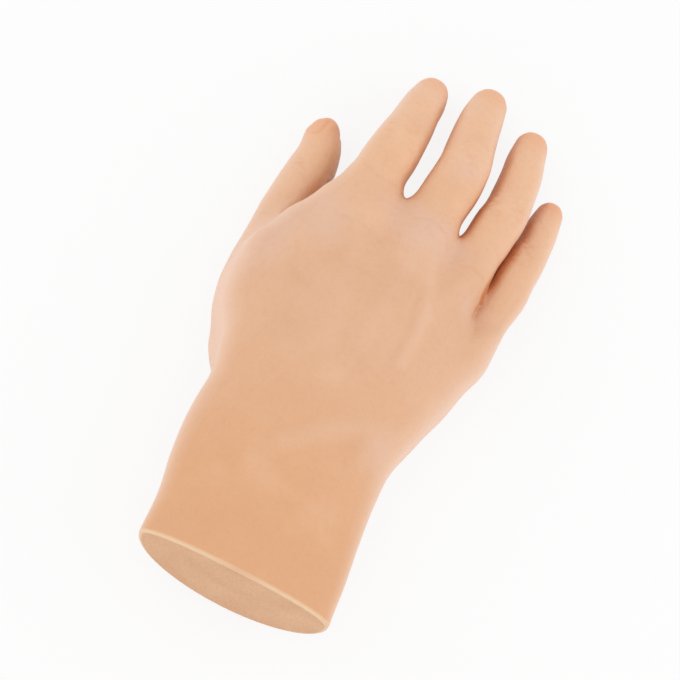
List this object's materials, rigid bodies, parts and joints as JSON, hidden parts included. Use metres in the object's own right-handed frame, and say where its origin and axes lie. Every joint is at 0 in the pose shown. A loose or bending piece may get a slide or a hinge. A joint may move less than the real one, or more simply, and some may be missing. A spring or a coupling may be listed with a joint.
{
  "type": "hand mannequin",
  "caption": "Life-size right hand in soft silicone, cut flat at the wrist, with fingers and thumb that bend on a hidden jointed armature and hold a pose.",
  "frame": {"origin": "centre of the wrist's flat cut face", "axes": "+Y from the wrist to the fingertips, +X to the little finger, +Z out of the back of the hand"},
  "size_m": [0.1029, 0.2202, 0.0487],
  "materials": {
    "silicone_skin": "matte",
    "filled_core": "matte",
    "white_nylon": "satin",
    "zinc_steel": "satin"
  },
  "bodies": {
    "palm": {"palm_skin": "silicone_skin", "wrist_core": "filled_core", "wrist_block": "white_nylon", "wrist_rod": "zinc_steel", "rod_nut": "zinc_steel", "anchor_disc": "zinc_steel", "index_bar": "white_nylon", "index_root_pin": "zinc_steel", "middle_bar": "white_nylon", "middle_root_pin": "zinc_steel", "ring_bar": "white_nylon", "ring_root_pin": "zinc_steel", "little_bar": "white_nylon", "little_root_pin": "zinc_steel", "thumb_bar": "white_nylon", "thumb_root_pin": "zinc_steel"},
    "index_root": {"index_root_skin": "silicone_skin", "index_root_link": "white_nylon", "index_mid_pin": "zinc_steel"},
    "index_mid": {"index_mid_skin": "silicone_skin", "index_mid_link": "white_nylon", "index_tip_pin": "zinc_steel"},
    "index_tip": {"index_tip_skin": "silicone_skin", "index_tip_link": "white_nylon"},
    "middle_root": {"middle_root_skin": "silicone_skin", "middle_root_link": "white_nylon", "middle_mid_pin": "zinc_steel"},
    "middle_mid": {"middle_mid_skin": "silicone_skin", "middle_mid_link": "white_nylon", "middle_tip_pin": "zinc_steel"},
    "middle_tip": {"middle_tip_skin": "silicone_skin", "middle_tip_link": "white_nylon"},
    "ring_root": {"ring_root_skin": "silicone_skin", "ring_root_link": "white_nylon", "ring_mid_pin": "zinc_steel"},
    "ring_mid": {"ring_mid_skin": "silicone_skin", "ring_mid_link": "white_nylon", "ring_tip_pin": "zinc_steel"},
    "ring_tip": {"ring_tip_skin": "silicone_skin", "ring_tip_link": "white_nylon"},
    "little_root": {"little_root_skin": "silicone_skin", "little_root_link": "white_nylon", "little_mid_pin": "zinc_steel"},
    "little_mid": {"little_mid_skin": "silicone_skin", "little_mid_link": "white_nylon", "little_tip_pin": "zinc_steel"},
    "little_tip": {"little_tip_skin": "silicone_skin", "little_tip_link": "white_nylon"},
    "thumb_root": {"thumb_root_skin": "silicone_skin", "thumb_root_link": "white_nylon", "thumb_tip_pin": "zinc_steel"},
    "thumb_tip": {"thumb_tip_skin": "silicone_skin", "thumb_tip_link": "white_nylon"}
  },
  "joints": [
    {"name": "index_root_bend", "type": "hinge", "parent": "palm", "child": "index_root", "pos_m": [-0.0202, 0.1665, 0.007], "axis": [-0.9962, 0.0872, 0], "range_deg": [-10, 35]},
    {"name": "index_mid_bend", "type": "hinge", "parent": "index_root", "child": "index_mid", "pos_m": [-0.01907, 0.17938, 0.00564], "axis": [-0.9962, 0.0872, 0], "range_deg": [-20, 45]},
    {"name": "index_tip_bend", "type": "hinge", "parent": "index_mid", "child": "index_tip", "pos_m": [-0.01759, 0.19628, -0.00496], "axis": [-0.9962, 0.0872, 0], "range_deg": [-15, 35]},
    {"name": "middle_root_bend", "type": "hinge", "parent": "palm", "child": "middle_root", "pos_m": [0.0059, 0.1665, 0.008], "axis": [-0.9997, -0.0262, 0], "range_deg": [-10, 35]},
    {"name": "middle_mid_bend", "type": "hinge", "parent": "middle_root", "child": "middle_mid", "pos_m": [0.00552, 0.18102, 0.00647], "axis": [-0.9997, -0.0262, 0], "range_deg": [-20, 45]},
    {"name": "middle_tip_bend", "type": "hinge", "parent": "middle_mid", "child": "middle_tip", "pos_m": [0.00503, 0.19987, -0.00486], "axis": [-0.9997, -0.0262, 0], "range_deg": [-15, 35]},
    {"name": "ring_root_bend", "type": "hinge", "parent": "palm", "child": "ring_root", "pos_m": [0.0272, 0.159, 0.005], "axis": [-0.999, -0.0454, 0], "range_deg": [-10, 35]},
    {"name": "ring_mid_bend", "type": "hinge", "parent": "ring_root", "child": "ring_mid", "pos_m": [0.02661, 0.17194, 0.00387], "axis": [-0.999, -0.0454, 0], "range_deg": [-20, 45]},
    {"name": "ring_tip_bend", "type": "hinge", "parent": "ring_mid", "child": "ring_tip", "pos_m": [0.0257, 0.19201, -0.00508], "axis": [-0.999, -0.0454, 0], "range_deg": [-15, 35]},
    {"name": "little_root_bend", "type": "hinge", "parent": "palm", "child": "little_root", "pos_m": [0.0415, 0.1465, -0.001], "axis": [-1, 0.0087, 0], "range_deg": [-10, 35]},
    {"name": "little_mid_bend", "type": "hinge", "parent": "little_root", "child": "little_mid", "pos_m": [0.04163, 0.16185, -0.00316], "axis": [-1, 0.0087, 0], "range_deg": [-20, 45]},
    {"name": "little_tip_bend", "type": "hinge", "parent": "little_mid", "child": "little_tip", "pos_m": [0.04176, 0.1768, -0.01013], "axis": [-1, 0.0087, 0], "range_deg": [-15, 35]},
    {"name": "thumb_root_bend", "type": "hinge", "parent": "palm", "child": "thumb_root", "pos_m": [-0.0445, 0.1405, -0.012], "axis": [-0.7054, -0.0493, -0.7071], "range_deg": [-15, 12]},
    {"name": "thumb_tip_bend", "type": "hinge", "parent": "thumb_root", "child": "thumb_tip", "pos_m": [-0.04398, 0.1584, -0.01377], "axis": [-0.7054, -0.0493, -0.7071], "range_deg": [-15, 30]}
  ]
}
